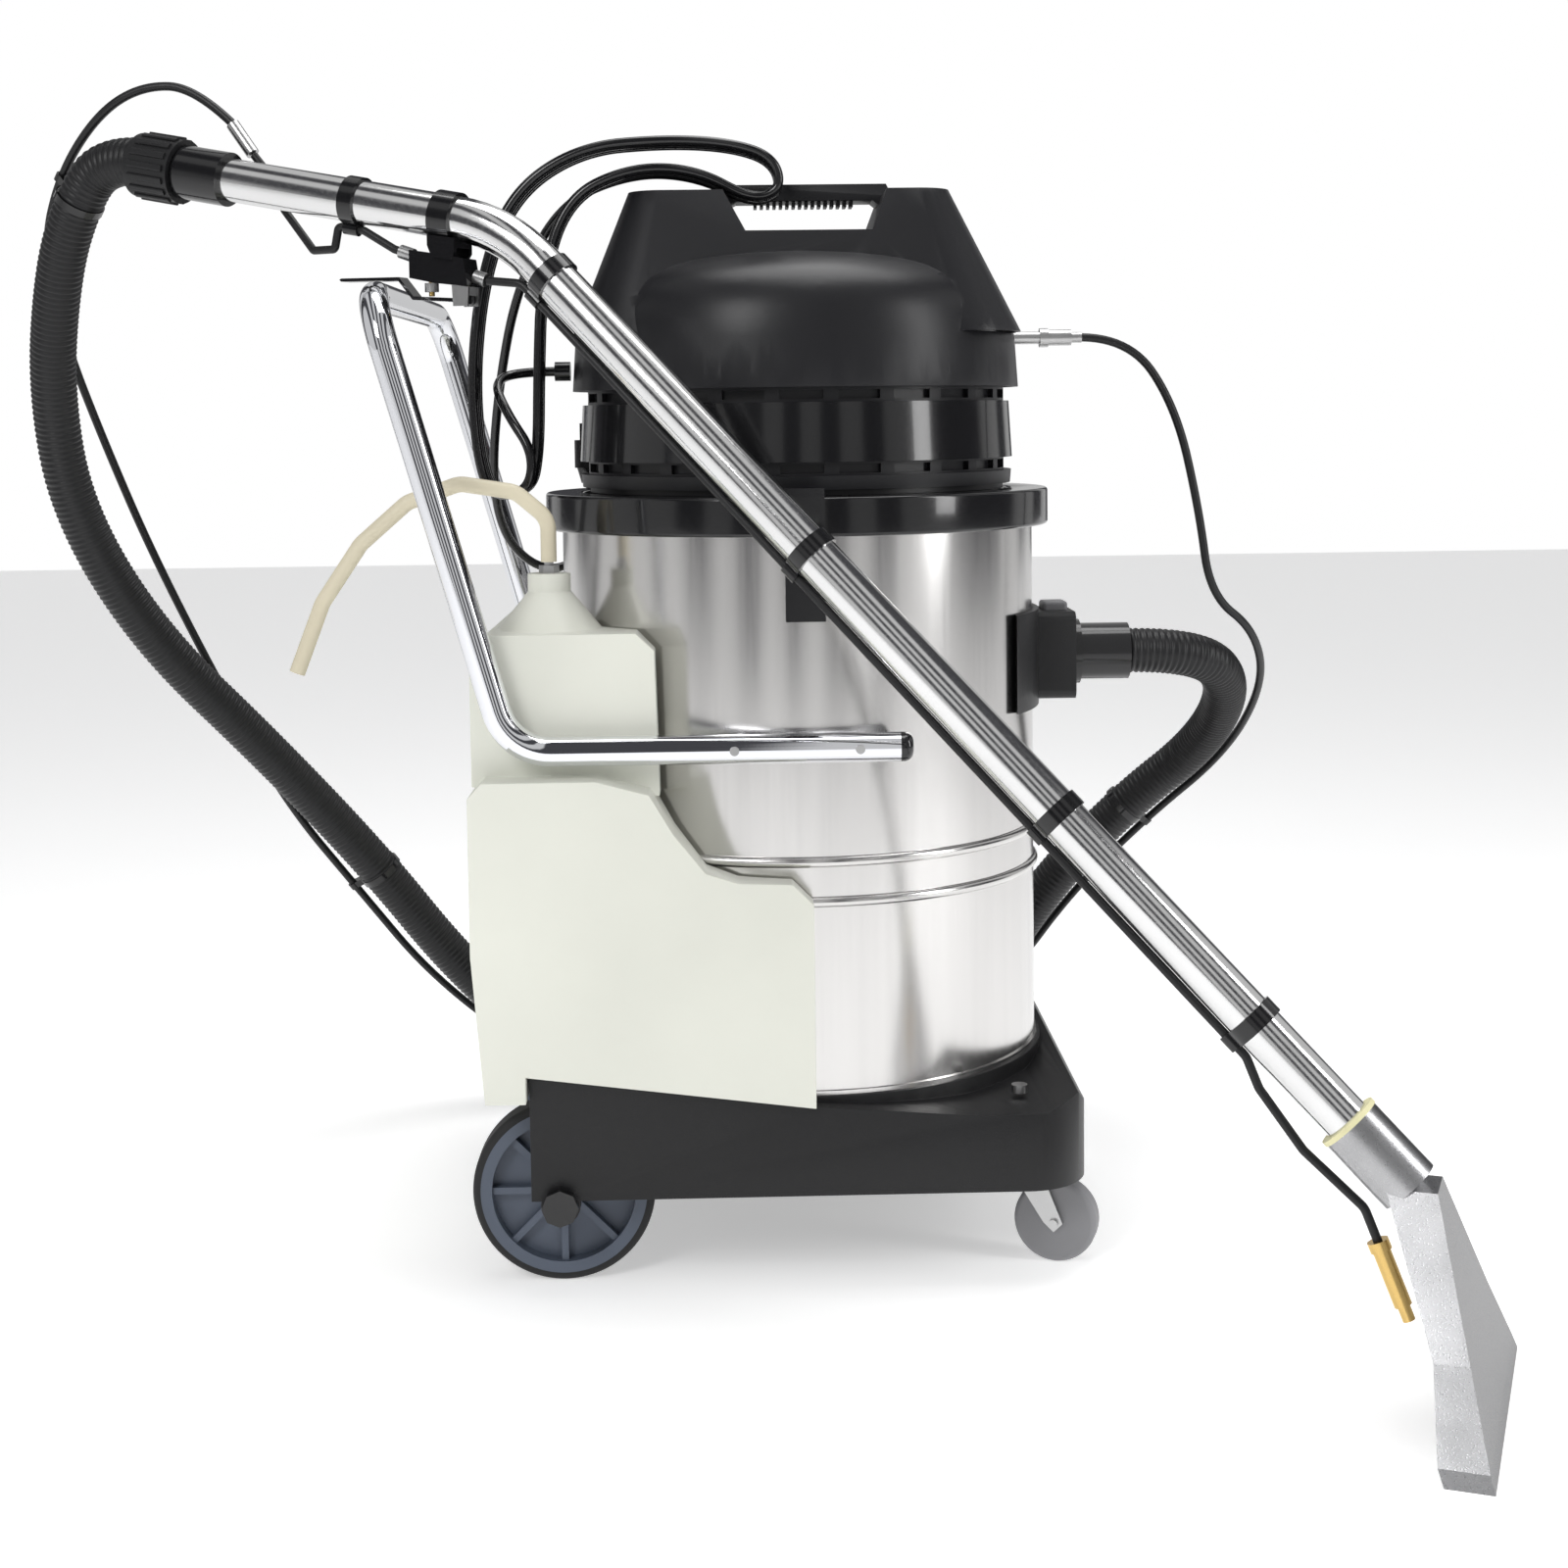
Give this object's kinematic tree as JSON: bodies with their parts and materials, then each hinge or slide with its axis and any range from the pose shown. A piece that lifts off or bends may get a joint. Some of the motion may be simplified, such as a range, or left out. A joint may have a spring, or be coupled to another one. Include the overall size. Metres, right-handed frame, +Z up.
{
  "type": "carpet cleaner machine",
  "caption": "Wheeled wet extraction carpet cleaner: steel recovery tank under a twin motor head, saddle solution tank, chrome push handle, ribbed hose and floor wand.",
  "frame": {"origin": "middle of the footprint of everything but the hoses and cord, on the floor", "axes": "+Z up, +X towards the front casters and the wand's nozzle, +Y away from the wand"},
  "size_m": [1.2937, 1.0282, 1.0631],
  "materials": {
    "base_black": "satin moulded",
    "head_black": "satin moulded",
    "gloss_black": "glossy",
    "hose_black": "ribbed",
    "steel": "brushed stainless",
    "wand_steel": "polished stainless",
    "chrome": "polished",
    "zinc": "zinc plated",
    "milky": "translucent white",
    "rim_grey": "satin",
    "tyre_black": "soft",
    "caster_grey": "soft grey",
    "cream": "soft",
    "cast_alu": "cast and polished",
    "gasket": "soft",
    "brass": "machined",
    "button_grey": "satin",
    "motor": "satin",
    "ball": "satin",
    "red": "glossy"
  },
  "bodies": {
    "machine": {"base": "base_black", "rear_axle": "zinc", "axle_caps": "gloss_black", "caster_plates": "zinc", "tank": "steel", "tank_ring": "gloss_black", "latch_brackets": "gloss_black", "inlet_housing": "base_black", "inlet_cuff": "gloss_black", "push_handle": "chrome", "handle_plugs": "gloss_black", "handle_brackets": "chrome", "fasteners": "zinc", "solution_tank": "milky", "tank_barb": "zinc", "drain_hose": "cream", "head_flange": "head_black", "vent_core": "head_black", "gloss_band": "gloss_black", "head_cover": "head_black", "vacuum_motors": "motor", "solution_pump": "motor", "float_cage": "ball", "solution_coupler": "brass", "switch_bezels": "gloss_black", "wand_tube": "wand_steel", "wand_cuff": "gloss_black", "wand_clips": "gloss_black", "valve_clamp": "gloss_black", "valve_body": "gloss_black", "valve_fittings": "zinc", "trigger_bracket": "zinc", "spray_lines": "hose_black", "nozzle": "cast_alu", "nozzle_gasket": "gasket", "spray_bar": "brass", "vacuum_hose": "hose_black", "solution_hose": "hose_black", "hose_ties": "gloss_black", "power_cord": "gloss_black", "cord_plug": "gloss_black", "cord_gland": "gloss_black"},
    "rear_wheel_near": {"rear_rim_near": "rim_grey", "rear_tyre_near": "tyre_black"},
    "rear_wheel_far": {"rear_rim_far": "rim_grey", "rear_tyre_far": "tyre_black"},
    "caster_near": {"caster_fork_near": "zinc"},
    "caster_far": {"caster_fork_far": "zinc"},
    "caster_roll_near": {"caster_wheel_near": "caster_grey"},
    "caster_roll_far": {"caster_wheel_far": "caster_grey"},
    "clip_near": {"latch_near": "gloss_black"},
    "clip_far": {"latch_far": "gloss_black"},
    "release_button": {"inlet_button": "button_grey"},
    "float": {"float_ball": "ball"},
    "switch_suction": {"rocker_suction": "red"},
    "switch_pump": {"rocker_pump": "red"},
    "hose_nut": {"swivel_nut": "base_black"},
    "lever": {"trigger_lever": "gloss_black"},
    "stem": {"valve_stem": "brass"}
  },
  "joints": [
    {"name": "rear_spin_near", "type": "hinge", "parent": "machine", "child": "rear_wheel_near", "pos_m": [-0.1983, 0.0066, 0.08], "axis": [0, 1, 0], "continuous": true},
    {"name": "caster_swivel_near", "type": "hinge", "parent": "machine", "child": "caster_near", "pos_m": [0.2127, 0.0286, 0.09], "axis": [0, 0, 1], "continuous": true},
    {"name": "caster_spin_near", "type": "hinge", "parent": "caster_near", "child": "caster_roll_near", "pos_m": [0.23933, 0.01995, 0.037], "axis": [0.309, 0.9511, 0], "continuous": true},
    {"name": "latch_near_hinge", "type": "hinge", "parent": "machine", "child": "clip_near", "pos_m": [0.0187, -0.0394, 0.588], "axis": [1, 0, 0], "range_deg": [0, 15]},
    {"name": "rear_spin_far", "type": "hinge", "parent": "machine", "child": "rear_wheel_far", "pos_m": [-0.1983, 0.3866, 0.08], "axis": [0, 1, 0], "continuous": true},
    {"name": "caster_swivel_far", "type": "hinge", "parent": "machine", "child": "caster_far", "pos_m": [0.2127, 0.3646, 0.09], "axis": [0, 0, 1], "continuous": true},
    {"name": "caster_spin_far", "type": "hinge", "parent": "caster_far", "child": "caster_roll_far", "pos_m": [0.23933, 0.35595, 0.037], "axis": [0.309, 0.9511, 0], "continuous": true},
    {"name": "latch_far_hinge", "type": "hinge", "parent": "machine", "child": "clip_far", "pos_m": [0.0187, 0.4326, 0.588], "axis": [-1, 0, 0], "range_deg": [0, 90]},
    {"name": "button_press", "type": "slide", "parent": "machine", "child": "release_button", "axis": [0, 0, -1], "range_m": [0, 0.003], "stiffness_N_per_m": 800, "springref_m": -0.001},
    {"name": "float_rise", "type": "slide", "parent": "machine", "child": "float", "axis": [0, 0, 1], "range_m": [0, 0.045]},
    {"name": "suction_rocker", "type": "hinge", "parent": "machine", "child": "switch_suction", "pos_m": [-0.0413, 0.4106, 0.806], "axis": [1, 0, 0], "range_deg": [0, 8]},
    {"name": "pump_rocker", "type": "hinge", "parent": "machine", "child": "switch_pump", "pos_m": [-0.0073, 0.4106, 0.806], "axis": [1, 0, 0], "range_deg": [0, 8]},
    {"name": "nut_swivel", "type": "hinge", "parent": "machine", "child": "hose_nut", "pos_m": [-0.52787, 0.10114, 0.9801], "axis": [-0.9115, 0.3664, 0.187], "continuous": true},
    {"name": "trigger_press", "type": "hinge", "parent": "machine", "child": "lever", "pos_m": [-0.26724, -0.00363, 0.858], "axis": [0.373, 0.9278, 0], "range_deg": [0, 5], "stiffness_Nm_per_rad": 2, "springref_deg": -2.86},
    {"name": "stem_push", "type": "slide", "parent": "machine", "child": "stem", "axis": [0, 0, 1], "range_m": [0, 0.003]}
  ],
  "couplings": [
    {"joint": "stem_push", "follows": "trigger_press", "m_per_rad": 0.033}
  ]
}
